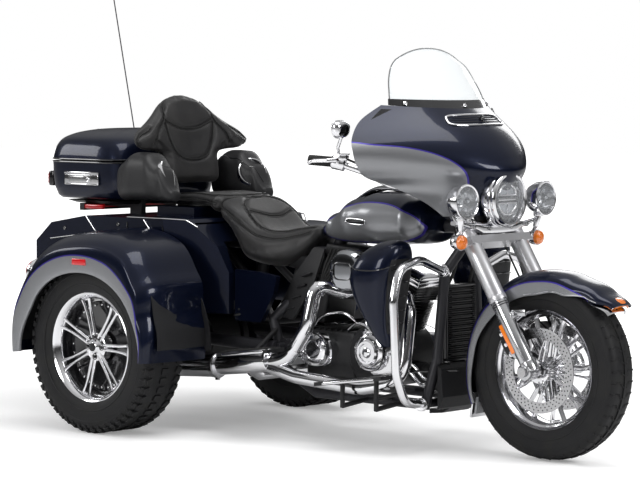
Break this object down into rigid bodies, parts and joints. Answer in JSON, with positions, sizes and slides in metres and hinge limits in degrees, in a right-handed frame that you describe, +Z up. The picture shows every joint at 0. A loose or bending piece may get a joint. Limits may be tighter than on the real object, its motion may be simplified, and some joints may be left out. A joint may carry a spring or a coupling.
{
  "type": "three-wheeled touring motorcycle",
  "caption": "Full-dress touring trike with a steered front wheel under a fork-mounted fairing, a twin-cylinder engine, a rear boot between wide fenders and a luggage box.",
  "frame": {"origin": "on the floor under the middle of the overall length and width, the whip antenna counted in the length", "axes": "+X forward, +Y to the rider's left, +Z up"},
  "size_m": [2.8194, 1.39, 1.6649],
  "materials": {
    "frame_black": "satin black paint",
    "cast_black": "black painted casting",
    "belt": "matte toothed belt",
    "engine_black": "wrinkle black with machined edges",
    "chrome": "polished chrome",
    "trim_black": "black moulded plastic",
    "paint_navy": "deep blue gloss with silver panels and a blue pinstripe",
    "leather": "black grained vinyl with piped seams",
    "steel": "bare steel",
    "lamp_red": "red moulded lens",
    "satin_alloy": "polished alloy",
    "clear_screen": "clear polycarbonate",
    "tyre": "black rubber"
  },
  "bodies": {
    "root": {"frame": "frame_black", "seat_frame": "frame_black", "swingarm": "frame_black", "rear_axle": "cast_black", "drive_belt": "belt", "crankcase": "engine_black", "cylinders": "engine_black", "primary_cover": "chrome", "air_cleaner": "chrome", "exhaust_headers": "chrome", "mufflers": "chrome", "front_cowl": "trim_black", "fuel_tank": "paint_navy", "tank_console": "trim_black", "seat": "leather", "backrest": "leather", "speaker_pods": "trim_black", "side_covers": "paint_navy", "rear_body": "paint_navy", "boot_hinges": "steel", "rear_fender_left": "paint_navy", "rear_fender_right": "paint_navy", "tail_lamps": "lamp_red", "luggage_box": "paint_navy", "luggage_rack": "trim_black", "antenna": "frame_black", "footboards": "trim_black", "engine_guard": "chrome", "lower_fairings": "paint_navy"},
    "steering": {"fork_yokes": "satin_alloy", "fork_legs": "satin_alloy", "front_axle": "steel", "brake_calipers": "cast_black", "front_fender": "paint_navy", "fairing": "paint_navy", "inner_fairing": "trim_black", "windshield": "clear_screen", "headlamp": "chrome", "light_bar": "chrome", "handlebar": "chrome"},
    "front_wheel": {"front_tyre": "tyre", "front_wheel": "chrome"},
    "rear_wheel_left": {"rear_tyre_left": "tyre", "rear_wheel_left": "chrome"},
    "rear_wheel_right": {"rear_tyre_right": "tyre", "rear_wheel_right": "chrome"},
    "luggage_lid": {"luggage_lid": "paint_navy"},
    "boot_door": {"boot_door": "paint_navy"},
    "fuel_door": {"fuel_door": "chrome"}
  },
  "joints": [
    {"name": "steering", "type": "hinge", "parent": "root", "child": "steering", "pos_m": [0.7859, 0, 0.828], "axis": [-0.4384, 0, 0.8988], "range_deg": [-32, 32]},
    {"name": "front_wheel_spin", "type": "hinge", "parent": "steering", "child": "front_wheel", "pos_m": [1.08974, 0, 0.32], "axis": [0, 1, 0], "continuous": true},
    {"name": "rear_wheel_left_spin", "type": "hinge", "parent": "root", "child": "rear_wheel_left", "pos_m": [-0.58026, 0.555, 0.324], "axis": [0, 1, 0], "continuous": true},
    {"name": "rear_wheel_right_spin", "type": "hinge", "parent": "root", "child": "rear_wheel_right", "pos_m": [-0.58026, -0.555, 0.324], "axis": [0, 1, 0], "continuous": true},
    {"name": "luggage_lid_hinge", "type": "hinge", "parent": "root", "child": "luggage_lid", "pos_m": [-0.58026, 0.301, 1.003], "axis": [-1, 0, 0], "range_deg": [0, 85]},
    {"name": "boot_door_hinge", "type": "hinge", "parent": "root", "child": "boot_door", "pos_m": [-1.18026, 0, 0.446], "axis": [0, -1, 0], "range_deg": [0, 95]},
    {"name": "fuel_door_hinge", "type": "hinge", "parent": "root", "child": "fuel_door", "pos_m": [0.41974, 0, 0.934], "axis": [0, 1, 0], "range_deg": [0, 85]}
  ]
}
